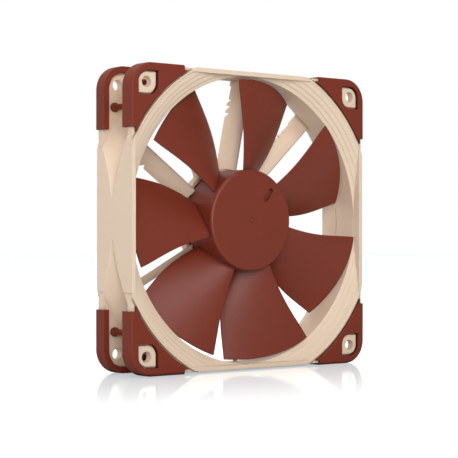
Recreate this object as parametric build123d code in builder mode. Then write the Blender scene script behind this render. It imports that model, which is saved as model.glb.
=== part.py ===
from build123d import *
import math
import os

os.makedirs("parts", exist_ok=True)

# 120 x 120 x 25 mm axial case fan, standing on one edge.
# +X right and +Z up as seen from the intake, +Y along the air flow, origin at the fan's centre.

# ---- driving dimensions, mm and degrees ----
HALF = 60.0                 # half the fan's square side, over the pads
PAD_FACE = 12.5             # half the fan's depth, over the pads
FRAME_FACE = 12.0           # half the depth of the bare frame
FRAME_SIDE = 59.5           # frame's flat side planes
SIDE_END = 28.0             # where they step in, beside the pads
SIDE_STEP = 59.15           # side planes from there to the pads
HOLE_POS = 52.5             # screw holes, 105 mm apart
HOLE_R = 2.15
LEAF_POS = 52.2             # leaf-shaped bosses and windows round the screw holes
FLANGE_HALF = 57.5          # flange outline under the pads
FLANGE_FACE = 11.5          # flange face under a pad's skin
FRONT_BACK = -8.5           # inner face of the intake flange
REAR_BACK = 8.3             # inner face of the exhaust flange
FRONT_LIP = -6.1            # inner edge of an intake pad's side wall
REAR_LIP = 6.5              # inner edge of an exhaust pad's side wall
RING_R = 66.05              # duct ring, where it meets the two faces
PAD_ARC = 66.7              # a pad's inner edge, an arc about the fan's axis
GROOVE_DEPTH = 0.8          # groove between ring and pad, below the flange's face
PAD_EDGE = 0.9              # rounding of a pad's face edges
PAD_END = 35.0              # where a pad's legs end
PAD_TIP = 58.0              # outer side of the thin tips in which a pad's skin runs out
TIP_END = 33.0              # where the tips end
MOAT_DEPTH = 1.4            # moat round each boss, below the flange's face
PEG_SPOTS = ((53.9, 43.8), (43.8, 53.9))   # pull-through pegs, one on each leg
PEG_HOLE_R = 1.5
PEG_REACH = 6.5             # how far a peg stands out behind its flange
THROAT_R = 57.7             # duct bore at its narrowest
OUTLET_R = 62.8             # duct at the exhaust face, in the corners
OUTLET_HALF = 58.3          # flat side walls that cut the outlet
MOUTH_HALF = 57.75          # flat side walls that cut the stepped inlet
BASE_R = 21.8               # motor base
HUB_R = 20.5                # impeller hub
HUB_FACE = -10.6
HUB_ROUND = 1.3             # rounding of the hub's rim
HUB_REAR = 6.2
TIP_R = 56.8                # impeller blade tips
BLADES = 7
BLADE_MID = 128.55          # first blade's mid-chord angle
VANE_ANGLES = (9.5, 42.4, 78.3, 111.2, 144.1, 175.7, 207.4, 239.4, 272.6, 304.2, 337.2)
VANE_FRONT = 4.8
VANE_REAR = 11.3
VANE_SHIFT = 5.3            # sideways travel of a guide vane from front edge to rear edge
NOTCHES = (44.4, 47.4, 50.3)
CORNERS = (
    ("upper_left", -1, 1),
    ("upper_right", 1, 1),
    ("lower_left", -1, -1),
    ("lower_right", 1, -1),
)


def at(y):
    """Plane square to the fan's axis at depth y: local x is +X, local y is +Z."""
    return Plane.XZ.offset(-y)


def radial(angle, r):
    """(X, Z) at radius r, the angle turning from +X towards +Z."""
    return (r * math.cos(math.radians(angle)), r * math.sin(math.radians(angle)))


def leaf(half, corner):
    """Square with its outer and inner corners rounded and the other two left sharp."""
    bulge = half - corner + corner * math.sqrt(0.5)
    with BuildSketch() as shape:
        with BuildLine():
            Polyline((corner - half, -half), (half, -half), (half, half - corner))
            ThreePointArc((half, half - corner), (bulge, bulge), (half - corner, half))
            Polyline((half - corner, half), (-half, half), (-half, corner - half))
            ThreePointArc((-half, corner - half), (-bulge, -bulge), (corner - half, -half))
        make_face()
    return shape.sketch


# ================= frame: one moulding with duct, flanges, guide vanes and motor base =========
with BuildPart() as inlet_steps:
    # concentric steps that flare the inlet in the corners, cut off by the flat side walls
    with BuildSketch(Plane.XY):
        with BuildLine():
            Polyline(
                (0, -8.6), (THROAT_R, -8.6), (59.2, -9.2), (59.45, -9.6), (61.0, -10.1),
                (61.25, -10.5), (62.9, -10.95), (63.15, -11.3), (65.0, -11.6), (65.5, -12.1),
                (65.5, -13.0), (0, -13.0), close=True,
            )
        make_face()
    revolve(axis=Axis.Y)
    with BuildSketch(at(0)):
        Rectangle(2 * MOUTH_HALF, 2 * MOUTH_HALF)
    extrude(amount=14.0, mode=Mode.INTERSECT)

with BuildPart() as outlet_flare:
    # the exhaust widens in the corners and keeps flat walls along the sides
    with BuildSketch(Plane.XY):
        with BuildLine():
            Polyline(
                (0, 2.0), (THROAT_R, 2.0), (OUTLET_R, FRAME_FACE), (OUTLET_R, 13), (0, 13),
                close=True,
            )
        make_face()
    revolve(axis=Axis.Y)
    with BuildSketch(at(14.0)):
        Rectangle(2 * OUTLET_HALF, 2 * OUTLET_HALF)
    extrude(amount=14.0, mode=Mode.INTERSECT)

with BuildPart() as air_path:
    with BuildSketch(at(13)):
        Circle(THROAT_R)
    extrude(amount=26)
    add(inlet_steps.part)
    add(outlet_flare.part)

with BuildPart() as guide_vane:
    # curved strip that runs straight out from the base, its rear edge notched near the tip
    with BuildSketch(Plane(origin=(20.9, 0, 0), x_dir=(0, 0, 1), z_dir=(1, 0, 0))):
        with BuildLine():
            ThreePointArc((0, -VANE_FRONT), (2.95, -7.95), (VANE_SHIFT - 0.35, -VANE_REAR))
            Line((VANE_SHIFT - 0.35, -VANE_REAR), (VANE_SHIFT + 0.35, -VANE_REAR))
            ThreePointArc((VANE_SHIFT + 0.35, -VANE_REAR), (3.95, -7.2), (0.55, -VANE_FRONT))
            Line((0.55, -VANE_FRONT), (0, -VANE_FRONT))
        make_face()
    extrude(amount=44.0)
    for tip in NOTCHES:
        with BuildSketch(Plane.XY.offset(9.0)):
            with BuildLine():
                Polyline((tip + 0.5, 12.0), (tip, 9.2), (tip - 2.2, 12.0), close=True)
            make_face()
        extrude(amount=-9.0, mode=Mode.SUBTRACT)
    with BuildSketch(Plane.XY.offset(9.0)):
        with BuildLine():
            Polyline((50.6, 12.0), (50.6, 10.6), (56.0, 10.4), (56.3, 12.0), close=True)
        make_face()
    extrude(amount=-9.0, mode=Mode.SUBTRACT)

with BuildPart() as guide_vanes:
    # all the vanes, their tips cut off inside the duct's wall
    for angle in VANE_ANGLES:
        add(guide_vane.part.rotate(Axis.Y, -angle))
    with BuildSketch(Plane.XY):
        with BuildLine():
            Polyline((0, 4.0), (60.2, 4.0), (64.0, 12.0), (0, 12.0), close=True)
        make_face()
    revolve(axis=Axis.Y, mode=Mode.INTERSECT)
    with BuildSketch(at(FRAME_FACE)):
        Rectangle(2 * OUTLET_HALF + 1.4, 2 * OUTLET_HALF + 1.4)
    extrude(amount=FRAME_FACE, mode=Mode.INTERSECT)

boss_leaf = leaf(4.0, 3.9)
window_leaf = leaf(4.65, 4.4)
collar_leaf = leaf(5.15, 4.85)
moat_leaf = leaf(5.2, 4.9)

with BuildPart() as frame:
    # ring with a V-shaped groove round its outside
    with BuildSketch(Plane.XY):
        with BuildLine():
            Polyline(
                (0, -FRAME_FACE), (RING_R, -FRAME_FACE), (67.65, -8.9), (59.95, 1.0),
                (59.95, 2.0), (65.9, 8.6), (RING_R, FRAME_FACE), (0, FRAME_FACE), close=True,
            )
        make_face()
    revolve(axis=Axis.Y)
    # corner flanges at both faces, as wide as the sides where the pads end
    for front, back in ((-FLANGE_FACE, FRONT_BACK), (REAR_BACK, FLANGE_FACE)):
        with BuildSketch(at(back)):
            RectangleRounded(2 * FLANGE_HALF, 2 * FLANGE_HALF, 7.0)
            Rectangle(2 * SIDE_STEP, 2 * PAD_END)
            Rectangle(2 * PAD_END, 2 * SIDE_STEP)
        extrude(amount=back - front)
    # flat sides, stepped in beside the pads and under them
    with BuildSketch(at(FRAME_FACE)):
        for across, along in ((FRAME_SIDE, SIDE_END), (SIDE_STEP, PAD_END)):
            Rectangle(2 * across, 2 * along)
            Rectangle(2 * along, 2 * across)
        RectangleRounded(2 * FLANGE_HALF, 2 * FLANGE_HALF, 7.0)
    extrude(amount=2 * FRAME_FACE, mode=Mode.INTERSECT)
    # shadow groove round the ring, beside the pads' inner edges
    for back in (-FLANGE_FACE + GROOVE_DEPTH, FRAME_FACE):
        with BuildSketch(at(back)):
            Circle(PAD_ARC)
            Circle(RING_R, mode=Mode.SUBTRACT)
        extrude(amount=FRAME_FACE - FLANGE_FACE + GROOVE_DEPTH, mode=Mode.SUBTRACT)
    # leaf-shaped bosses round the screw holes, each in a moat that takes the pad window's collar
    for _, sx, sz in CORNERS:
        turned = 0 if sx * sz > 0 else 90
        for back in (-FLANGE_FACE + MOAT_DEPTH, FLANGE_FACE):
            with BuildSketch(at(back)):
                with Locations((sx * LEAF_POS, sz * LEAF_POS)):
                    add(moat_leaf, rotation=turned)
                    add(boss_leaf, rotation=turned, mode=Mode.SUBTRACT)
            extrude(amount=MOAT_DEPTH, mode=Mode.SUBTRACT)
    add(air_path.part, mode=Mode.SUBTRACT)
    # screw holes and peg holes
    with BuildSketch(at(13.0)):
        with GridLocations(2 * HOLE_POS, 2 * HOLE_POS, 2, 2):
            Circle(HOLE_R)
        for _, sx, sz in CORNERS:
            with Locations([(sx * x, sz * z) for x, z in PEG_SPOTS]):
                Circle(PEG_HOLE_R)
    extrude(amount=26.0, mode=Mode.SUBTRACT)
    # motor base: shallow cup that faces the hub, with a socket for the bearing tube
    with BuildSketch(Plane.XY):
        with BuildLine():
            Polyline(
                (0, 10.25), (4.45, 10.25), (4.45, 7.0), (6.4, 7.0), (6.7, 10.2), (20.1, 10.2),
                (20.3, 7.6), (BASE_R - 0.3, 7.6), (BASE_R, 8.0), (BASE_R, 11.4),
                (BASE_R - 0.6, FRAME_FACE), (19.8, FRAME_FACE), (19.8, 11.75), (0, 11.75), close=True,
            )
        make_face()
    revolve(axis=Axis.Y)
    # posts under the circuit board
    with BuildSketch(at(10.4)):
        with PolarLocations(12.5, 3, start_angle=15):
            Circle(1.3)
    extrude(amount=1.2)
    add(guide_vanes.part)
    # wire outlet: a slot in the base's rim, beside a guide vane
    with BuildSketch(at(10.2)):
        with Locations(radial(321.0, 21.0)):
            Rectangle(4.0, 6.0, rotation=321.0)
    extrude(amount=3.0, mode=Mode.SUBTRACT)
frame.part.label = "frame"
export_step(frame.part, "parts/frame.step")

# ================= corner pads: soft mouldings pulled on to the flanges with pegs ==============
# outline of one corner, +X +Z: two legs whose inner edge is an arc about the fan's axis
with BuildSketch() as pad_outline:
    Rectangle(HALF, HALF, align=(Align.MIN, Align.MIN))
    fillet(pad_outline.vertices().group_by(Axis.Y)[-1].sort_by(Axis.X)[-1], radius=9.5)
    with Locations((0, 0)):
        Rectangle(PAD_END, HALF + 1, align=(Align.MIN, Align.MIN), mode=Mode.SUBTRACT)
        Rectangle(HALF + 1, PAD_END, align=(Align.MIN, Align.MIN), mode=Mode.SUBTRACT)
        Circle(PAD_ARC, mode=Mode.SUBTRACT)

corner_pads = {}
for side, face, skin, back, lip in (
    ("front", -PAD_FACE, -FLANGE_FACE, FRONT_BACK, FRONT_LIP),
    ("rear", PAD_FACE, FLANGE_FACE, REAR_BACK, REAR_LIP),
):
    inward = math.copysign(1.0, -face)
    with BuildPart() as pad:
        # solid to the depth of the side walls, then hollowed to fit over the flange
        with BuildSketch(at(max(face, lip))):
            add(pad_outline.sketch)
        extrude(amount=abs(face - lip))
        outer = pad.faces().sort_by(Axis.Y)[0 if face < 0 else -1]
        inner_arc = outer.edges().filter_by(GeomType.CIRCLE).sort_by(SortBy.RADIUS)[-1]
        rim = outer.edges().filter_by(lambda e: e.length > 4.0) - ShapeList([inner_arc])
        fillet(rim, radius=PAD_EDGE)
        face_edges = pad.faces().sort_by(Axis.Y)[0 if face < 0 else -1].edges()
        fillet(face_edges.filter_by(GeomType.CIRCLE).sort_by(SortBy.RADIUS)[-1], radius=0.7)
        with BuildSketch(at(max(skin, lip + inward))):
            RectangleRounded(2 * FLANGE_HALF, 2 * FLANGE_HALF, 7.0)
        extrude(amount=abs(skin - lip) + 1.0, mode=Mode.SUBTRACT)
        # the skin runs out in a thin tip beyond each leg's side wall
        with BuildSketch(at(max(face, skin))):
            with Locations((PAD_TIP - 8.0, TIP_END)):
                Rectangle(8.0, PAD_END + 1.2 - TIP_END, align=(Align.MIN, Align.MIN))
            with Locations((TIP_END, PAD_TIP - 8.0)):
                Rectangle(PAD_END + 1.2 - TIP_END, 8.0, align=(Align.MIN, Align.MIN))
            Circle(PAD_ARC, mode=Mode.SUBTRACT)
        extrude(amount=abs(face - skin))
        # window with a collar that reaches down into the moat round the boss
        collar_end = skin + inward * (MOAT_DEPTH - 0.1)
        with BuildSketch(at(max(skin, collar_end))):
            with Locations((LEAF_POS, LEAF_POS)):
                add(collar_leaf)
        extrude(amount=abs(skin - collar_end))
        with BuildSketch(at(PAD_FACE + 1)):
            with Locations((LEAF_POS, LEAF_POS)):
                add(window_leaf)
        extrude(amount=2 * PAD_FACE + 2, mode=Mode.SUBTRACT)
        # pegs: neck through the flange, bulb behind it, thin tail to pull on
        for x, z in PEG_SPOTS:
            bulb = back + inward * 0.05
            tail = back + inward * PEG_REACH
            with BuildSketch(Plane(origin=(x, 0, z), x_dir=(1, 0, 0), z_dir=(0, 0, 1))):
                with BuildLine():
                    Polyline(
                        (0, skin - inward * 0.3), (1.4, skin - inward * 0.3), (1.4, bulb),
                        (1.85, bulb), (1.85, bulb + inward * 0.8), (1.25, bulb + inward * 1.5),
                        (1.15, tail - inward * 0.5), (0.7, tail), (0, tail), close=True,
                    )
                make_face()
            revolve(axis=Axis((x, 0, z), (0, 1, 0)))
    corner_pads[side] = pad.part

for side, shape in corner_pads.items():
    for corner, sx, sz in CORNERS:
        with BuildPart() as corner_pad:
            add(shape)
            if sx < 0:
                mirror(about=Plane.YZ, mode=Mode.REPLACE)
            if sz < 0:
                mirror(about=Plane.XY, mode=Mode.REPLACE)
        corner_pad.part.label = f"{side}_pad_{corner}"
        export_step(corner_pad.part, f"parts/{side}_pad_{corner}.step")


# ================= impeller: hub cup with seven swept blades ===================================
def along(values, s):
    """Cubic curve through the span, s = 0 at the hub and 1 at the tip, from four control values."""
    a, b, c, d = values
    q = 1 - s
    return a * q ** 3 + 3 * b * q * q * s + 3 * c * q * s * s + d * s ** 3


def blade_point(s, chord):
    """Radius, angle off the mid-chord line and depth of the blade's middle surface."""
    lead = along((147.65, 142.9, 147.2, 147.5), s) - BLADE_MID
    trail = along((108.6, 103.4, 109.1, 110.9), s) - BLADE_MID
    front = along((-8.0, -8.4, -9.0, -9.8), s)
    back = along((2.6, 2.8, 2.4, 1.5), s)
    camber = 1.6 + 0.7 * s
    depth = front + (back - front) * chord - camber * 4 * chord * (1 - chord)
    return (HUB_R + (TIP_R - HUB_R) * s, lead + (trail - lead) * chord, depth)


def blade_side(distance, sign):
    """One side of the blade where a plane across the span cuts it, as (sideways, -depth) points."""
    points = []
    for step in range(9):
        chord = step / 8
        low, high = -0.35, 1.5
        for _ in range(40):
            s = (low + high) / 2
            r, angle, depth = blade_point(s, chord)
            if r * math.cos(math.radians(angle)) < distance:
                low = s
            else:
                high = s
        half = (0.85 - 0.25 * s) * (0.45 + 0.55 * math.sqrt(4 * chord * (1 - chord)))
        points.append((r * math.sin(math.radians(angle)), sign * half - depth))
    return points


with BuildPart() as blade:
    for distance in (17.5, 24.0, 31.0, 38.0, 45.0, 52.0, 60.0):
        with BuildSketch(Plane(origin=(distance, 0, 0), x_dir=(0, 0, 1), z_dir=(1, 0, 0))):
            upper = blade_side(distance, 1)
            lower = blade_side(distance, -1)
            with BuildLine():
                Spline(*upper)
                Line(upper[-1], lower[-1])
                Spline(*lower)
                Line(lower[0], upper[0])
            make_face()
    loft()
    with BuildSketch(at(8.0)):
        Circle(TIP_R)
        Circle(HUB_R - 0.4, mode=Mode.SUBTRACT)
    extrude(amount=22.0, mode=Mode.INTERSECT)

with BuildPart() as impeller:
    with BuildSketch(Plane.XY):
        with BuildLine():
            rim = HUB_ROUND * (1 - math.sqrt(0.5))
            Line((0, HUB_FACE), (HUB_R - HUB_ROUND, HUB_FACE))
            ThreePointArc(
                (HUB_R - HUB_ROUND, HUB_FACE), (HUB_R - rim, HUB_FACE + rim),
                (HUB_R, HUB_FACE + HUB_ROUND),
            )
            Polyline(
                (HUB_R, HUB_FACE + HUB_ROUND), (HUB_R, HUB_REAR), (19.25, HUB_REAR), (19.25, -9.3),
                (0, -9.3), (0, HUB_FACE),
            )
        make_face()
    revolve(axis=Axis.Y)
    for k in range(BLADES):
        add(blade.part.rotate(Axis.Y, 360 * k / BLADES - BLADE_MID))
    # balancing pocket, and the gate mark at the centre of the hub's face: a nub in a shallow dish
    with BuildSketch(at(HUB_FACE + 1.0)):
        with Locations(radial(50.0, 13.5)):
            SlotOverall(6.4, 2.5, rotation=50.0)
    extrude(amount=2.0, mode=Mode.SUBTRACT)
    with BuildSketch(at(HUB_FACE + 0.12)):
        Circle(1.2)
    extrude(amount=1.0, mode=Mode.SUBTRACT)
    with Locations((0, HUB_FACE + 0.45, 0)):
        Sphere(0.8)
impeller.part.label = "impeller"
export_step(impeller.part, "parts/impeller.step")

# ================= rotor: steel cup, magnet, shaft and the brass boss that holds it ============
with BuildPart() as rotor_yoke:
    with BuildSketch(Plane.XY):
        with BuildLine():
            Polyline(
                (1.55, -9.25), (18.7, -9.25), (19.2, -8.75), (19.2, 5.6), (18.3, 5.6),
                (18.3, -8.35), (1.55, -8.35), close=True,
            )
        make_face()
    revolve(axis=Axis.Y)
rotor_yoke.part.label = "rotor_yoke"
export_step(rotor_yoke.part, "parts/rotor_yoke.step")

with BuildPart() as magnet_ring:
    with BuildSketch(at(5.0)):
        Circle(18.25)
        Circle(16.6, mode=Mode.SUBTRACT)
    extrude(amount=11.5)
    chamfer(magnet_ring.edges().filter_by(GeomType.CIRCLE), length=0.25)
magnet_ring.part.label = "magnet_ring"
export_step(magnet_ring.part, "parts/magnet_ring.step")

with BuildPart() as shaft_boss:
    with BuildSketch(Plane.XY):
        with BuildLine():
            Polyline(
                (1.5, -8.3), (4.2, -8.3), (4.2, -7.2), (3.4, -6.8), (3.2, -5.7), (1.5, -5.7),
                close=True,
            )
        make_face()
    revolve(axis=Axis.Y)
shaft_boss.part.label = "shaft_boss"
export_step(shaft_boss.part, "parts/shaft_boss.step")

with BuildPart() as shaft:
    # steel shaft with a retaining groove and a domed end
    with BuildSketch(Plane.XY):
        with BuildLine():
            Polyline(
                (0, 9.25), (0, -9.2), (1.3, -9.2), (1.5, -9.0), (1.5, 7.7), (1.0, 7.7), (1.0, 8.55),
                (1.5, 8.55), (1.5, 8.7), (1.1, 9.05), (0.5, 9.25), close=True,
            )
        make_face()
    revolve(axis=Axis.Y)
shaft.part.label = "shaft"
export_step(shaft.part, "parts/shaft.step")

# ================= bearing: brass tube in the base with the sleeve, seal and thrust plate ======
with BuildPart() as bearing_tube:
    with BuildSketch(Plane.XY):
        with BuildLine():
            Polyline(
                (0, 9.95), (3.5, 9.95), (3.5, -5.0), (4.2, -5.0), (4.4, -4.8), (4.4, 10.2),
                (0, 10.2), close=True,
            )
        make_face()
    revolve(axis=Axis.Y)
bearing_tube.part.label = "bearing_tube"
export_step(bearing_tube.part, "parts/bearing_tube.step")

with BuildPart() as bearing_sleeve:
    # porous sleeve, bored 0.03 mm over the shaft
    with BuildSketch(at(7.2)):
        Circle(3.48)
        Circle(1.53, mode=Mode.SUBTRACT)
    extrude(amount=11.5)
    chamfer(bearing_sleeve.edges().filter_by(GeomType.CIRCLE), length=0.2)
bearing_sleeve.part.label = "bearing_sleeve"
export_step(bearing_sleeve.part, "parts/bearing_sleeve.step")

with BuildPart() as oil_seal:
    with BuildSketch(at(-4.45)):
        Circle(3.45)
        Circle(1.6, mode=Mode.SUBTRACT)
    extrude(amount=0.45)
oil_seal.part.label = "oil_seal"
export_step(oil_seal.part, "parts/oil_seal.step")

with BuildPart() as shaft_retainer:
    # snap washer that sits in the shaft's groove with play, split by three slits
    with BuildSketch(at(8.35)):
        Circle(3.45)
        Circle(1.12, mode=Mode.SUBTRACT)
        with PolarLocations(1.7, 3):
            Rectangle(1.6, 0.4, mode=Mode.SUBTRACT)
    extrude(amount=0.4)
shaft_retainer.part.label = "shaft_retainer"
export_step(shaft_retainer.part, "parts/shaft_retainer.step")

with BuildPart() as thrust_plate:
    with BuildSketch(at(9.9)):
        Circle(3.4)
    extrude(amount=0.6)
thrust_plate.part.label = "thrust_plate"
export_step(thrust_plate.part, "parts/thrust_plate.step")

# ================= stator: laminated core, two insulators and four windings ====================
with BuildPart() as stator_core:
    with BuildSketch(at(4.5)):
        Circle(16.0)
        Circle(13.6, mode=Mode.SUBTRACT)
        with PolarLocations(15.0, 4, start_angle=45):
            Rectangle(6.0, 2.6, mode=Mode.SUBTRACT)
        with PolarLocations(10.0, 4):
            Rectangle(8.0, 4.5)
        Circle(7.4)
        Circle(4.45, mode=Mode.SUBTRACT)
    extrude(amount=9.0)
stator_core.part.label = "stator_core"
export_step(stator_core.part, "parts/stator_core.step")

for name, inner, sign in (("front_insulator", -4.5, -1), ("rear_insulator", 4.5, 1)):
    with BuildPart() as insulator:
        # cap that covers the core's end and reaches half-way down the winding necks
        with BuildSketch(at(max(inner, inner + sign * 0.7))):
            Circle(15.8)
            Circle(13.4, mode=Mode.SUBTRACT)
            with PolarLocations(15.0, 4, start_angle=45):
                Rectangle(6.0, 3.0, mode=Mode.SUBTRACT)
            with PolarLocations(10.0, 4):
                Rectangle(8.0, 5.6)
            Circle(7.6)
            with PolarLocations(8.4, 4, start_angle=45):
                Circle(1.3)
            Circle(4.5, mode=Mode.SUBTRACT)
            with PolarLocations(8.4, 4, start_angle=45):
                Circle(0.4, mode=Mode.SUBTRACT)
        extrude(amount=0.7)
        with BuildSketch(at(max(inner, inner + sign * 2.6))):
            Circle(14.2)
            Circle(13.4, mode=Mode.SUBTRACT)
            with PolarLocations(13.8, 4, start_angle=45):
                Rectangle(4.0, 5.0, mode=Mode.SUBTRACT)
            Circle(7.6)
            Circle(6.9, mode=Mode.SUBTRACT)
        extrude(amount=2.6)
        with BuildSketch(at(max(inner, 0))):
            with PolarLocations(10.5, 4):
                with Locations((0, 2.55), (0, -2.55)):
                    Rectangle(5.5, 0.5)
        extrude(amount=4.5)
    insulator.part.label = name
    export_step(insulator.part, f"parts/{name}.step")

for k in range(4):
    with BuildPart() as coil:
        # winding wrapped round one pole's neck, corners rounded by the wire's bend
        turn = Axis.Y
        with BuildSketch(Plane(origin=(8.3, 0, 0), x_dir=(0, 0, 1), z_dir=(1, 0, 0))):
            RectangleRounded(10.2, 13.8, 2.2)
            Rectangle(5.7, 10.5, mode=Mode.SUBTRACT)
        extrude(amount=4.0)
    winding = coil.part.rotate(turn, -90.0 * k)
    winding.label = f"coil_{k + 1}"
    export_step(winding, f"parts/coil_{k + 1}.step")

# ================= electronics: board in the base with its driver, small parts and pins ========
with BuildPart() as circuit_board:
    with BuildSketch(at(9.2)):
        Circle(19.6)
        Circle(6.8, mode=Mode.SUBTRACT)
        with PolarLocations(8.4, 4, start_angle=45):
            Circle(0.5, mode=Mode.SUBTRACT)
    extrude(amount=1.2)
circuit_board.part.label = "circuit_board"
export_step(circuit_board.part, "parts/circuit_board.step")

with BuildPart() as winding_pins:
    # square-cut pins that carry the winding ends through the board
    with BuildSketch(at(9.8)):
        with PolarLocations(8.4, 4, start_angle=45):
            Circle(0.35)
    extrude(amount=5.2)
winding_pins.part.label = "winding_pins"
export_step(winding_pins.part, "parts/winding_pins.step")

with BuildPart() as hall_driver:
    # magnet sensor and motor driver in one chip, its body under the magnet ring
    with BuildSketch(at(7.9)):
        with PolarLocations(16.6, 1, start_angle=45):
            Rectangle(3.0, 4.2)
    extrude(amount=1.3)
    with BuildSketch(at(8.0)):
        with PolarLocations(16.6, 1, start_angle=45):
            with GridLocations(4.2, 1.2, 2, 3):
                Rectangle(1.4, 0.4)
    extrude(amount=0.4)
hall_driver.part.label = "hall_driver"
export_step(hall_driver.part, "parts/hall_driver.step")

with BuildPart() as board_components:
    # resistors, capacitors and a diode on the board's front, clear of the turning skirt
    with BuildSketch(at(8.0)):
        for angle in (100.0, 118.0, 205.0, 222.0, 290.0):
            with PolarLocations(16.5, 1, start_angle=angle):
                Rectangle(1.3, 2.1)
    extrude(amount=0.6)
    with BuildSketch(at(8.0)):
        with PolarLocations(15.5, 1, start_angle=150.0):
            Rectangle(2.6, 4.0)
    extrude(amount=1.0)
board_components.part.label = "board_components"
export_step(board_components.part, "parts/board_components.step")

# ================= blank label in the recess on the base's rear face ===========================
with BuildPart() as rear_label:
    with BuildSketch(at(11.95)):
        Circle(19.5)
    extrude(amount=0.2)
rear_label.part.label = "rear_label"
export_step(rear_label.part, "parts/rear_label.step")
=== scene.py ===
import math

import bpy
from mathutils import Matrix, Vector


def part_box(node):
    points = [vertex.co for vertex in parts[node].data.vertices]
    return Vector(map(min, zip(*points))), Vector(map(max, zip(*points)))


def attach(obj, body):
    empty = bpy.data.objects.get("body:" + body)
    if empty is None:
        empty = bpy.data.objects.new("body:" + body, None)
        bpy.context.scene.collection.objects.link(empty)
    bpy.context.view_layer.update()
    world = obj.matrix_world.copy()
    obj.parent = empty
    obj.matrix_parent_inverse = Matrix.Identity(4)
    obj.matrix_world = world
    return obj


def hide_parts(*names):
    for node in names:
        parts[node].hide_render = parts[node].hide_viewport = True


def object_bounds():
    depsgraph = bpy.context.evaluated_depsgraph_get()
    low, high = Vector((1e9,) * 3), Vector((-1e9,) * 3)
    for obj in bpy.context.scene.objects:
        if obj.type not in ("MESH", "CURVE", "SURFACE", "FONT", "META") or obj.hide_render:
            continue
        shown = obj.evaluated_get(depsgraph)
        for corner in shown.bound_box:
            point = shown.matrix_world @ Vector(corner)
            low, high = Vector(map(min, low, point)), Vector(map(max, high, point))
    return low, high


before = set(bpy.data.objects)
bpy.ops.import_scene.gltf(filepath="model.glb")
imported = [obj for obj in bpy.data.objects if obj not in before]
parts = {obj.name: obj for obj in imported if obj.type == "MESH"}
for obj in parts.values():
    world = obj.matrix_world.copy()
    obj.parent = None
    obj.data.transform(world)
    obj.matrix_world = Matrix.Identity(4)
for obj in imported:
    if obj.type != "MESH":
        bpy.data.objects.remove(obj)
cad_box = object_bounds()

# ================= frame =====================================================================
# One beige glass-filled moulding: duct ring, corner flanges, guide vanes and motor base.
# The spark-eroded mould leaves a fine matt grain, smoother along the edges, and the flow of
# the plastic shows as faint clouds of colour.


def add_socket(group, name, direction, kind, value=None):
    """One named input or output of a node group, with its starting value."""
    socket = group.interface.new_socket(name=name, in_out=direction, socket_type=kind)
    if value is not None:
        socket.default_value = value


def new_group(name, inputs, outputs):
    """An empty shader node group with its sockets; returns it with its two end nodes."""
    group = bpy.data.node_groups.new(name, "ShaderNodeTree")
    for label, kind, value in inputs:
        add_socket(group, label, "INPUT", kind, value)
    for label, kind in outputs:
        add_socket(group, label, "OUTPUT", kind)
    return group, group.nodes.new("NodeGroupInput"), group.nodes.new("NodeGroupOutput")


def feed(tree, socket, value):
    """Give a socket a number, a colour or another node's output."""
    if isinstance(value, bpy.types.NodeSocket):
        tree.links.new(value, socket)
    else:
        socket.default_value = value


def math_node(tree, operation, *values):
    """A math node whose inputs are numbers or other nodes' outputs."""
    node = tree.nodes.new("ShaderNodeMath")
    node.operation = operation
    for socket, value in zip(node.inputs, values):
        feed(tree, socket, value)
    return node.outputs[0]


MIX_INPUTS = (0, 6, 7)      # a Mix node's factor and its two colours
MIX_RESULT = 2              # its mixed colour


def mix_colours(tree, how, factor, first, second):
    """A colour mix node; each input is a colour, a number or another node's output."""
    node = tree.nodes.new("ShaderNodeMix")
    node.data_type = "RGBA"
    node.blend_type = how
    for index, value in zip(MIX_INPUTS, (factor, first, second)):
        feed(tree, node.inputs[index], value)
    return node.outputs[MIX_RESULT]


def noise_node(tree, vector, scale, detail=2.0):
    """A noise texture on the given coordinates, about 1 / scale metres from lump to lump."""
    node = tree.nodes.new("ShaderNodeTexNoise")
    node.inputs["Detail"].default_value = detail
    feed(tree, node.inputs["Vector"], vector)
    feed(tree, node.inputs["Scale"], scale)
    return node.outputs["Fac"]


def bump_node(tree, height, depth):
    """A bump node that raises the surface by up to this depth, in metres."""
    node = tree.nodes.new("ShaderNodeBump")
    feed(tree, node.inputs["Distance"], depth)
    feed(tree, node.inputs["Height"], height)
    return node


CLOUD_SCALE = 45.0          # clouds of colour in a metre
EDGE_GAIN = 3.0             # how soon the turn of a rounded edge counts as edge
EDGE_POLISH = 0.08          # edges are this much smoother
CREVICE_WIDTH = 0.0016      # gaps and corners this narrow get painted shade
CREVICE_GAIN = 1.5          # how soon a gap counts as narrow
GRAIN_ROUGHNESS = 0.16      # roughness from grain to grain


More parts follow.
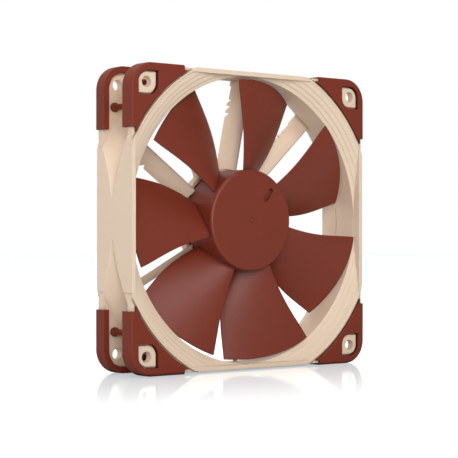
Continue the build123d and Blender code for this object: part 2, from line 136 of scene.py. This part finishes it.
def moulded_skin_group():
    """Surface of a moulding: mould grain, clouds of colour, painted shade in crevices, rounded, polished
    edges with a painted highlight.
    """
    group, come_in, go_out = new_group(
        "moulded_skin",
        (
            ("Vector", "NodeSocketVector", None),
            ("Colour", "NodeSocketColor", (0.5, 0.5, 0.5, 1)),
            ("Clouds", "NodeSocketFloat", 0.06),
            ("Grain size", "NodeSocketFloat", 0.0004),
            ("Grain depth", "NodeSocketFloat", 0.00001),
            ("Edge radius", "NodeSocketFloat", 0.0003),
            ("Edge highlight", "NodeSocketFloat", 0.2),
            ("Crevice shade", "NodeSocketFloat", 0.5),
            ("Roughness", "NodeSocketFloat", 0.5),
        ),
        (
            ("Colour", "NodeSocketColor"),
            ("Roughness", "NodeSocketFloat"),
            ("Normal", "NodeSocketVector"),
        ),
    )
    vector = come_in.outputs["Vector"]
    grain = noise_node(group, vector, math_node(group, "DIVIDE", 1.0, come_in.outputs["Grain size"]))
    clouds = noise_node(group, vector, CLOUD_SCALE, detail=4.0)

    rounded = group.nodes.new("ShaderNodeBevel")
    rounded.samples = 4
    group.links.new(come_in.outputs["Edge radius"], rounded.inputs["Radius"])
    surface = group.nodes.new("ShaderNodeNewGeometry")
    facing = group.nodes.new("ShaderNodeVectorMath")
    facing.operation = "DOT_PRODUCT"
    group.links.new(rounded.outputs["Normal"], facing.inputs[0])
    group.links.new(surface.outputs["Normal"], facing.inputs[1])
    turned_away = math_node(group, "SUBTRACT", 1.0, facing.outputs["Value"])
    edge = math_node(group, "MINIMUM", math_node(group, "MULTIPLY", turned_away, EDGE_GAIN), 1.0)

    shade = math_node(group, "MULTIPLY_ADD", math_node(group, "SUBTRACT", clouds, 0.5),
                      come_in.outputs["Clouds"], 1.0)
    # painted highlight: the colour is lightened where a rounded edge turns
    shade = math_node(group, "MULTIPLY_ADD", edge, come_in.outputs["Edge highlight"], shade)
    # painted shade: the colour darkens in narrow gaps and corners, found by ambient occlusion, for the
    # shade that falls there
    crevice = group.nodes.new("ShaderNodeAmbientOcclusion")
    crevice.samples = 6
    crevice.inputs["Distance"].default_value = CREVICE_WIDTH
    closed_in = math_node(group, "SUBTRACT", 1.0, crevice.outputs["AO"])
    narrow = math_node(group, "MINIMUM", math_node(group, "MULTIPLY", closed_in, CREVICE_GAIN), 1.0)
    unshaded = math_node(group, "SUBTRACT", 1.0,
                      math_node(group, "MULTIPLY", narrow, come_in.outputs["Crevice shade"]))
    shade = math_node(group, "MULTIPLY", shade, unshaded)
    group.links.new(mix_colours(group, "MULTIPLY", 1.0, come_in.outputs["Colour"], shade),
                    go_out.inputs["Colour"])

    rough = math_node(group, "MULTIPLY_ADD", math_node(group, "SUBTRACT", grain, 0.5), GRAIN_ROUGHNESS,
                      come_in.outputs["Roughness"])
    group.links.new(math_node(group, "MULTIPLY_ADD", edge, -EDGE_POLISH, rough),
                    go_out.inputs["Roughness"])
    bump = bump_node(group, grain, come_in.outputs["Grain depth"])
    group.links.new(rounded.outputs["Normal"], bump.inputs["Normal"])
    group.links.new(bump.outputs["Normal"], go_out.inputs["Normal"])
    return group


moulded_skin = moulded_skin_group()


def new_material(name):
    """An empty material; returns it with its shader and a socket that gives Object coordinates."""
    material = bpy.data.materials.new(name)
    material.use_nodes = True
    place = material.node_tree.nodes.new("ShaderNodeTexCoord")
    return material, material.node_tree.nodes["Principled BSDF"], place.outputs["Object"]


def group_material(name, group, values):
    """A material that takes colour, roughness and normal from a shared group with these values."""
    material, shader, place = new_material(name)
    tree = material.node_tree
    skin = tree.nodes.new("ShaderNodeGroup")
    skin.node_tree = group
    for label, value in values.items():
        skin.inputs[label].default_value = value
    tree.links.new(place, skin.inputs["Vector"])
    tree.links.new(skin.outputs["Colour"], shader.inputs["Base Color"])
    tree.links.new(skin.outputs["Roughness"], shader.inputs["Roughness"])
    tree.links.new(skin.outputs["Normal"], shader.inputs["Normal"])
    return material, shader


# Each material sets how much painted shade darkens its gaps and corners and how much painted highlight
# lightens its edges.
def skin_material(name, colour, clouds, grain_size, grain_depth, edge_radius, edge_highlight, roughness,
                  crevice_shade=0.4, gloss=0.5):
    """A moulded material with its own values in the shared skin group."""
    material, shader = group_material(name, moulded_skin, {
        "Colour": (*colour, 1), "Clouds": clouds, "Grain size": grain_size,
        "Grain depth": grain_depth, "Edge radius": edge_radius, "Edge highlight": edge_highlight,
        "Crevice shade": crevice_shade, "Roughness": roughness,
    })
    shader.inputs["Specular IOR Level"].default_value = gloss
    return material


def finish(node, material):
    """A CAD node keeps its shape and takes this material."""
    parts[node].material_slots[0].material = material


# Faint painted shade in its gaps and a faint painted highlight on its edges.
beige = skin_material(
    "beige_moulding", colour=(0.80, 0.620, 0.470), clouds=0.05, grain_size=0.00035,
    grain_depth=0.000010, edge_radius=0.00035, edge_highlight=0.05, roughness=0.46, crevice_shade=0.25,
)
finish("frame", beige)

# ================= corner pads ===============================================================
# Eight soft brown silicone mouldings, pulled on to the flanges' corners by two pegs each.
# Silicone is matt with a slight bloom, and its skin is smoother and its edges rounder than
# the frame's.
# Strong painted shade in the gaps round its windows, and a painted highlight along its rounded edges.
silicone = skin_material(
    "brown_silicone", colour=(0.195, 0.032, 0.016), clouds=0.10, grain_size=0.00022,
    grain_depth=0.000006, edge_radius=0.0004, edge_highlight=0.30, roughness=0.56, crevice_shade=0.7,
    gloss=0.2,
)
for side in ("front", "rear"):
    for corner in ("upper_left", "upper_right", "lower_left", "lower_right"):
        finish(f"{side}_pad_{corner}", silicone)

# ================= bearing ===================================================================
# A brass tube pressed into the motor base holds the porous bronze sleeve, with a washer at
# its mouth, a snap washer in the shaft's groove and a wear plate under the shaft's end.
# Brass and steel keep the rings of the lathe tool; the bronze is pressed powder, full of pores.
STAIN_SCALE = 260.0         # stains of tarnish in a metre
STAIN_GAIN = 2.0
STAIN_ROUGHNESS = 0.2       # tarnish is this much rougher
RING_ROUGHNESS = 0.3        # roughness from ring to ring
RING_DEPTH = 0.000006


def turned_metal_group():
    """Lathe rings round the fan's axis: fine lines in roughness and height, and faint tarnish."""
    group, come_in, go_out = new_group(
        "turned_metal",
        (
            ("Vector", "NodeSocketVector", None),
            ("Colour", "NodeSocketColor", (0.5, 0.5, 0.5, 1)),
            ("Tarnish", "NodeSocketColor", (0.3, 0.3, 0.3, 1)),
            ("Ring width", "NodeSocketFloat", 0.0001),
            ("Roughness", "NodeSocketFloat", 0.3),
        ),
        (
            ("Colour", "NodeSocketColor"),
            ("Roughness", "NodeSocketFloat"),
            ("Normal", "NodeSocketVector"),
        ),
    )
    vector = come_in.outputs["Vector"]
    split = group.nodes.new("ShaderNodeSeparateXYZ")
    group.links.new(vector, split.inputs[0])
    radius = math_node(group, "POWER", math_node(
        group, "ADD", math_node(group, "MULTIPLY", split.outputs["X"], split.outputs["X"]),
        math_node(group, "MULTIPLY", split.outputs["Z"], split.outputs["Z"])), 0.5)
    ring_place = group.nodes.new("ShaderNodeCombineXYZ")
    group.links.new(radius, ring_place.inputs["X"])
    group.links.new(split.outputs["Y"], ring_place.inputs["Y"])
    rings = noise_node(group, ring_place.outputs[0],
                       math_node(group, "DIVIDE", 1.0, come_in.outputs["Ring width"]))
    stains = noise_node(group, vector, STAIN_SCALE, detail=3.0)
    dark_half = math_node(group, "MAXIMUM", math_node(group, "SUBTRACT", stains, 0.5), 0.0)
    stained = math_node(group, "MULTIPLY", dark_half, STAIN_GAIN)
    group.links.new(mix_colours(group, "MIX", stained, come_in.outputs["Colour"],
                                come_in.outputs["Tarnish"]), go_out.inputs["Colour"])
    rough = math_node(group, "MULTIPLY_ADD", math_node(group, "SUBTRACT", rings, 0.5), RING_ROUGHNESS,
                      come_in.outputs["Roughness"])
    group.links.new(math_node(group, "MULTIPLY_ADD", stained, STAIN_ROUGHNESS, rough),
                    go_out.inputs["Roughness"])
    group.links.new(bump_node(group, rings, RING_DEPTH).outputs["Normal"], go_out.inputs["Normal"])
    return group


turned_metal = turned_metal_group()


def metal_material(name, colour, tarnish, ring_width, roughness):
    """A turned or drawn metal with its own values in the shared group."""
    material, shader = group_material(name, turned_metal, {
        "Colour": (*colour, 1), "Tarnish": (*tarnish, 1), "Ring width": ring_width,
        "Roughness": roughness,
    })
    shader.inputs["Metallic"].default_value = 1.0
    return material


def shade_by_mask(tree, mask, low_colour, high_colour, shader):
    """Base colour from one colour to another as a mask goes from 0 to 1."""
    tree.links.new(mix_colours(tree, "MIX", mask, low_colour, high_colour), shader.inputs["Base Color"])


brass = metal_material("turned_brass", colour=(0.80, 0.57, 0.25), tarnish=(0.45, 0.28, 0.12),
                       ring_width=0.00012, roughness=0.28)
finish("bearing_tube", brass)

PORE_SIZE = 0.00012
PORE_DEPTH = 0.00002
bronze, bronze_shader, bronze_place = new_material("porous_bronze")
bronze_tree = bronze.node_tree
pores = bronze_tree.nodes.new("ShaderNodeTexVoronoi")
pores.inputs["Scale"].default_value = 1 / PORE_SIZE
bronze_tree.links.new(bronze_place, pores.inputs["Vector"])
pore_bump = bump_node(bronze_tree, pores.outputs["Distance"], PORE_DEPTH)
bronze_tree.links.new(pore_bump.outputs["Normal"], bronze_shader.inputs["Normal"])
shade_by_mask(bronze_tree, pores.outputs["Distance"], (0.20, 0.11, 0.05, 1), (0.50, 0.31, 0.15, 1),
              bronze_shader)
bronze_shader.inputs["Metallic"].default_value = 0.9
bronze_shader.inputs["Roughness"].default_value = 0.42
finish("bearing_sleeve", bronze)

black_nylon = skin_material(
    "black_nylon", colour=(0.025, 0.025, 0.027), clouds=0.2, grain_size=0.00015,
    grain_depth=0.000004, edge_radius=0.0001, edge_highlight=0.8, roughness=0.42,
)
white_nylon = skin_material(
    "white_nylon", colour=(0.78, 0.77, 0.72), clouds=0.06, grain_size=0.0002,
    grain_depth=0.000005, edge_radius=0.00015, edge_highlight=0.05, roughness=0.4,
)
finish("oil_seal", black_nylon)
finish("thrust_plate", black_nylon)
finish("shaft_retainer", white_nylon)

# ================= stator ====================================================================
# A stack of stamped steel sheets with four poles, between two white nylon caps that carry the
# windings. The sheets' cut edges show as fine dark lines, and the faces are varnished.
SHEET_THICK = 0.0005
LINE_DEPTH = 0.00004        # depth of the lines between the sheets' cut edges
WAVE_RADIANS = 20           # a Wave texture turns this many radians in 1 / scale metres
VARNISH_SCALE = 600.0
sheets, sheets_shader, sheets_place = new_material("stacked_sheets")
sheets_tree = sheets.node_tree
sheet_lines = sheets_tree.nodes.new("ShaderNodeTexWave")
sheet_lines.wave_type = "BANDS"
sheet_lines.bands_direction = "Y"
sheet_lines.inputs["Scale"].default_value = 2 * math.pi / (WAVE_RADIANS * SHEET_THICK)
sheets_tree.links.new(sheets_place, sheet_lines.inputs["Vector"])
varnish = noise_node(sheets_tree, sheets_place, VARNISH_SCALE, detail=4.0)
line_shade = math_node(sheets_tree, "MULTIPLY_ADD", sheet_lines.outputs["Fac"], 0.55, 0.35)
sheet_colour = mix_colours(sheets_tree, "MULTIPLY", 1.0, (0.42, 0.43, 0.45, 1), line_shade)
shade_by_mask(sheets_tree, math_node(sheets_tree, "MULTIPLY", varnish, 0.4), sheet_colour,
              (0.23, 0.17, 0.10, 1), sheets_shader)
sheet_bump = bump_node(sheets_tree, sheet_lines.outputs["Fac"], LINE_DEPTH)
sheets_tree.links.new(sheet_bump.outputs["Normal"], sheets_shader.inputs["Normal"])
sheets_tree.links.new(math_node(sheets_tree, "MULTIPLY_ADD", varnish, 0.25, 0.25),
                      sheets_shader.inputs["Roughness"])
sheets_shader.inputs["Metallic"].default_value = 0.9
finish("stator_core", sheets)
finish("front_insulator", white_nylon)
finish("rear_insulator", white_nylon)

# ================= windings ==================================================================
# Four coils of enamelled copper wire, each wound in layers round one pole's neck, turn beside
# turn, out and back along the pole. The last turn leads to the pin beside it on the board.
WIRE = 0.00031
LAYERS = 5
TURNS = 12
CORNER_BEND = 0.0022        # bend of the outermost layer round the neck's corners
LEAST_BEND = 0.0004         # bend of the innermost ones
BEND_POINTS = 4             # points of the wire round one corner
PIN_RADIUS = 0.0084         # the pins stand this far from the axis, half-way between the poles
LEAD_POINTS = ((0.0012, 0.0074), (0.0005, 0.0075))   # lead's end: out from the pin, and along the axis
ENAMEL_SCALE = 900.0
enamel, enamel_shader, enamel_place = new_material("enamelled_copper")
enamel_tree = enamel.node_tree
enamel_shade = noise_node(enamel_tree, enamel_place, ENAMEL_SCALE, detail=3.0)
shade_by_mask(enamel_tree, enamel_shade, (0.36, 0.11, 0.035, 1), (0.66, 0.26, 0.10, 1), enamel_shader)
enamel_tree.links.new(math_node(enamel_tree, "MULTIPLY_ADD", enamel_shade, 0.25, 0.16),
                      enamel_shader.inputs["Roughness"])
enamel_shader.inputs["Metallic"].default_value = 1.0
enamel_shader.inputs["Coat Weight"].default_value = 0.6
enamel_shader.inputs["Coat Roughness"].default_value = 0.1


def turn_points(layer, coil_across, coil_deep):
    """(across, along the axis) points of one turn in a layer, corner by corner."""
    sink = WIRE / 2 + layer * WIRE
    bend = max(CORNER_BEND - sink, LEAST_BEND)
    half_across, half_deep = coil_across / 2 - sink - bend, coil_deep / 2 - sink - bend
    for corner, (right, back) in enumerate(((1, 1), (-1, 1), (-1, -1), (1, -1))):
        for step in range(BEND_POINTS):
            angle = math.radians(90 * corner + 90 / (BEND_POINTS - 1) * step)
            yield (right * half_across + bend * math.cos(angle),
                   back * half_deep + bend * math.sin(angle))


def wire_points(node):
    """Centre line of one coil's wire, layer by layer from the inside, then its lead to the pin."""
    low, high = (Vector(corner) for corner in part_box(node))
    middle, extent = (low + high) / 2, high - low
    outward = Vector((middle.x, 0, middle.z)).normalized()
    sideways = Vector((-outward.z, 0, outward.x))
    coil_along, coil_across = abs(extent.dot(outward)), abs(extent.dot(sideways))
    start = middle.dot(outward) - coil_along / 2 + WIRE / 2
    travel = coil_along - WIRE
    points = []
    for layer in reversed(range(LAYERS)):
        turns = [spot for _ in range(TURNS) for spot in turn_points(layer, coil_across, extent.y)]
        for index, (across, deep) in enumerate(turns):
            done = index / (len(turns) - 1)
            if layer % 2 == 0:
                done = 1 - done
            points.append(outward * (start + travel * done) + sideways * across + Vector((0, deep, 0)))
    pin = (outward + sideways).normalized() * PIN_RADIUS
    for out, deep in LEAD_POINTS:
        points.append(pin + outward * out + Vector((0, deep, 0)))
    return points


for number in range(1, 5):
    points = wire_points(f"coil_{number}")
    wire = bpy.data.curves.new(f"winding_{number}", "CURVE")
    wire.dimensions = "3D"
    wire.bevel_depth = WIRE / 2
    wire.bevel_resolution = 1
    wire.use_fill_caps = True
    line = wire.splines.new("POLY")
    line.points.add(len(points) - 1)
    for spot, point in zip(line.points, points):
        spot.co = (*point, 1)
    winding = bpy.data.objects.new(f"winding_{number}", wire)
    bpy.context.scene.collection.objects.link(winding)
    bpy.ops.object.select_all(action="DESELECT")
    winding.select_set(True)
    bpy.context.view_layer.objects.active = winding
    bpy.ops.object.convert(target="MESH")
    winding = bpy.context.object
    bpy.ops.object.shade_smooth()
    winding.data.materials.clear()
    winding.data.materials.append(enamel)
    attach(winding, "housing")
    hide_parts(f"coil_{number}")

# ================= circuit board =============================================================
# A round glass-fibre board on the motor base's posts: green lacquer over copper tracks, the
# sensor that drives the coils, a few small parts, and tinned pins for the windings' ends.
TRACK_SCALE = 320.0
TRACK_EDGE = 0.62           # copper lies beyond this distance from a cell's middle, in cells
TRACK_HEIGHT = 0.00003
WEAVE_SCALE = 2500.0
lacquer, lacquer_shader, lacquer_place = new_material("board_lacquer")
lacquer_tree = lacquer.node_tree
tracks = lacquer_tree.nodes.new("ShaderNodeTexVoronoi")
tracks.distance = "MANHATTAN"
tracks.feature = "F1"
tracks.inputs["Scale"].default_value = TRACK_SCALE
lacquer_tree.links.new(lacquer_place, tracks.inputs["Vector"])
on_track = math_node(lacquer_tree, "GREATER_THAN", tracks.outputs["Distance"], TRACK_EDGE)
shade_by_mask(lacquer_tree, on_track, (0.012, 0.085, 0.030, 1), (0.045, 0.19, 0.065, 1), lacquer_shader)
weave = noise_node(lacquer_tree, lacquer_place, WEAVE_SCALE)
lacquer_height = math_node(lacquer_tree, "MULTIPLY_ADD", weave, 0.2, on_track)
lacquer_tree.links.new(bump_node(lacquer_tree, lacquer_height, TRACK_HEIGHT).outputs["Normal"],
                       lacquer_shader.inputs["Normal"])
lacquer_tree.links.new(math_node(lacquer_tree, "MULTIPLY_ADD", weave, 0.15, 0.2),
                       lacquer_shader.inputs["Roughness"])
finish("circuit_board", lacquer)

chip_black = skin_material(
    "chip_black", colour=(0.018, 0.018, 0.020), clouds=0.2, grain_size=0.00008,
    grain_depth=0.000004, edge_radius=0.00008, edge_highlight=0.6, roughness=0.5,
)
ceramic = skin_material(
    "ceramic_parts", colour=(0.34, 0.22, 0.13), clouds=0.25, grain_size=0.0001,
    grain_depth=0.000003, edge_radius=0.00006, edge_highlight=0.4, roughness=0.35,
)
tinned = metal_material("tinned_pins", colour=(0.74, 0.73, 0.70), tarnish=(0.50, 0.48, 0.44),
                        ring_width=0.0001, roughness=0.3)
finish("hall_driver", chip_black)
finish("board_components", ceramic)
finish("winding_pins", tinned)

# ================= rear label ================================================================
# A round blank sticker of silvered film in the recess of the motor base. Nothing is printed
# on it; the film is a little uneven where it was pressed down.
RIPPLE_SCALE = 180.0
RIPPLE_DEPTH = 0.00004
SPECKLE_SCALE = 5000.0
film, film_shader, film_place = new_material("label_film")
film_tree = film.node_tree
ripples = noise_node(film_tree, film_place, RIPPLE_SCALE, detail=3.0)
speckle = noise_node(film_tree, film_place, SPECKLE_SCALE)
shade_by_mask(film_tree, ripples, (0.54, 0.54, 0.55, 1), (0.66, 0.66, 0.67, 1), film_shader)
film_height = math_node(film_tree, "MULTIPLY_ADD", speckle, 0.05, ripples)
film_tree.links.new(bump_node(film_tree, film_height, RIPPLE_DEPTH).outputs["Normal"],
                    film_shader.inputs["Normal"])
film_tree.links.new(math_node(film_tree, "MULTIPLY_ADD", speckle, 0.15, 0.28),
                    film_shader.inputs["Roughness"])
film_shader.inputs["Metallic"].default_value = 0.75
finish("rear_label", film)

# ================= rotor =====================================================================
# A drawn steel cup carries the ring magnet and the brass boss, in which the ground steel
# shaft is pressed. The magnet is dark ferrite powder bound in plastic.
yoke_steel = metal_material("zinc_plated_steel", colour=(0.50, 0.50, 0.51), tarnish=(0.34, 0.33, 0.30),
                            ring_width=0.00025, roughness=0.34)
bright_steel = metal_material("ground_steel", colour=(0.62, 0.62, 0.63), tarnish=(0.45, 0.44, 0.42),
                              ring_width=0.00006, roughness=0.18)
ferrite = skin_material(
    "ferrite", colour=(0.040, 0.039, 0.040), clouds=0.3, grain_size=0.00012,
    grain_depth=0.000008, edge_radius=0.0002, edge_highlight=0.8, roughness=0.55,
)
finish("rotor_yoke", yoke_steel)
finish("magnet_ring", ferrite)
finish("shaft_boss", brass)
finish("shaft", bright_steel)

# ================= impeller ==================================================================
# One brown glass-fibre moulding: hub cup and seven swept blades, pressed over the steel cup.
# The fibres give it a satin surface with a fine grain.
# Painted shade in its gaps and a painted highlight along the blades' and hub's edges.
satin_brown = skin_material(
    "brown_moulding", colour=(0.190, 0.028, 0.012), clouds=0.10, grain_size=0.00030,
    grain_depth=0.000007, edge_radius=0.0003, edge_highlight=0.30, roughness=0.42, crevice_shade=0.5,
    gloss=0.42,
)
finish("impeller", satin_brown)

# ================= studio ====================================================================
# A white floor, polished round the fan, and a white backdrop behind it, dark in front of it. The
# main soft box stands beside the camera, with others above it, at the far left and overhead.
FLOOR_SIZE = 8.0
FLOOR_GLOSS = 0.42
FLOOR_GLOW = 0.46           # light that the white floor sheet passes up towards the camera
FAR_GLOW = 0.40             # added where the polish has faded out
POLISH_REACH = 0.16         # the polish fades out this far from the fan


def smooth_range(tree, value, start, end, at_start, at_end):
    """A soft step between two values, as a value goes from start to end."""
    node = tree.nodes.new("ShaderNodeMapRange")
    node.interpolation_type = "SMOOTHSTEP"
    for label, number in (("From Min", start), ("From Max", end), ("To Min", at_start), ("To Max", at_end)):
        node.inputs[label].default_value = number
    tree.links.new(value, node.inputs["Value"])
    return node.outputs["Result"]


bpy.ops.object.select_all(action="DESELECT")
bpy.ops.mesh.primitive_plane_add(size=FLOOR_SIZE, location=(0, 0, cad_box[0][2]))
floor = bpy.context.object
floor.name = "floor"
floor_white, floor_shader, floor_place = new_material("floor_white")
floor_shader.inputs["Base Color"].default_value = (0.53, 0.555, 0.56, 1)
floor_shader.inputs["Roughness"].default_value = 0.08
floor_shader.inputs["Emission Color"].default_value = (0.90, 0.98, 1.0, 1)
floor_tree = floor_white.node_tree
floor_spot = floor_tree.nodes.new("ShaderNodeSeparateXYZ")
floor_tree.links.new(floor_place, floor_spot.inputs[0])
past_sides = []
for axis, reach in (("X", cad_box[1][0]), ("Y", cad_box[1][1])):
    from_middle = math_node(floor_tree, "ABSOLUTE", floor_spot.outputs[axis])
    past_sides.append(math_node(floor_tree, "MAXIMUM",
                                math_node(floor_tree, "SUBTRACT", from_middle, reach), 0.0))
distance = math_node(floor_tree, "POWER", math_node(
    floor_tree, "ADD", math_node(floor_tree, "MULTIPLY", past_sides[0], past_sides[0]),
    math_node(floor_tree, "MULTIPLY", past_sides[1], past_sides[1])), 0.5)
polish = smooth_range(floor_tree, distance, 0.0, POLISH_REACH, 1.0, 0.0)
floor_tree.links.new(math_node(floor_tree, "MULTIPLY", polish, FLOOR_GLOSS),
                     floor_shader.inputs["Specular IOR Level"])
floor_rays = floor_tree.nodes.new("ShaderNodeLightPath")
unpolished = math_node(floor_tree, "SUBTRACT", 1.0, polish)
glow = math_node(floor_tree, "MULTIPLY_ADD", unpolished, FAR_GLOW, FLOOR_GLOW)
floor_tree.links.new(math_node(floor_tree, "MULTIPLY", floor_rays.outputs["Is Camera Ray"], glow),
                     floor_shader.inputs["Emission Strength"])
floor.data.materials.append(floor_white)

BACKDROP = 1.0              # brightness behind the fan
DARK_SIDE = 0.22            # brightness in front of it
DIM_ABOVE = 0.65            # the room darkens towards its ceiling
world = bpy.data.worlds.new("studio")
bpy.context.scene.world = world
world.use_nodes = True
sky = world.node_tree
direction = sky.nodes.new("ShaderNodeTexCoord")
direction_parts = sky.nodes.new("ShaderNodeSeparateXYZ")
sky.links.new(direction.outputs["Generated"], direction_parts.inputs[0])
behind = smooth_range(sky, direction_parts.outputs["Y"], -0.25, 0.45, DARK_SIDE, BACKDROP)
above = smooth_range(sky, direction_parts.outputs["Z"], 0.15, 0.60, 1.0, DIM_ABOVE)
room = math_node(sky, "MULTIPLY", behind, above)
seen = sky.nodes.new("ShaderNodeLightPath")
sky.links.new(math_node(sky, "MAXIMUM", seen.outputs["Is Camera Ray"], room),
              sky.nodes["Background"].inputs["Strength"])
sky.nodes["Background"].inputs["Color"].default_value = (1, 1, 1, 1)


def soft_box(name, place, width, height, watts):
    """A rectangular soft box at a place, turned to face the fan."""
    data = bpy.data.lights.new(name, "AREA")
    data.shape = "RECTANGLE"
    data.size, data.size_y, data.energy = width, height, watts
    lamp = bpy.data.objects.new(name, data)
    lamp.location = place
    lamp.rotation_euler = (-Vector(place)).to_track_quat("-Z", "Y").to_euler()
    bpy.context.scene.collection.objects.link(lamp)


soft_box("key_box", (-0.60, -0.80, 0.22), width=0.5, height=0.5, watts=4.8)
soft_box("front_box", (-0.05, -0.90, 0.55), width=0.55, height=0.45, watts=3.4)
soft_box("left_box", (-1.00, -0.15, 0.30), width=0.6, height=0.6, watts=0.5)
soft_box("top_box", (-0.10, 0.10, 0.95), width=0.8, height=0.8, watts=5.0)

CAMERA_PLACE = (-0.38304, -0.47971, -0.00702)
CAMERA_AIM = (0.6206, 0.7841, 0.00576)
camera_data = bpy.data.cameras.new("camera")
camera_data.sensor_width = 36.0
camera_data.lens = 118.2
camera_data.clip_start = 0.01
camera_data.clip_end = 20.0
camera = bpy.data.objects.new("camera", camera_data)
camera.location = CAMERA_PLACE
camera.rotation_euler = Vector(CAMERA_AIM).to_track_quat("-Z", "Y").to_euler()
bpy.context.scene.collection.objects.link(camera)
bpy.context.scene.camera = camera
bpy.context.scene.view_settings.view_transform = "Standard"
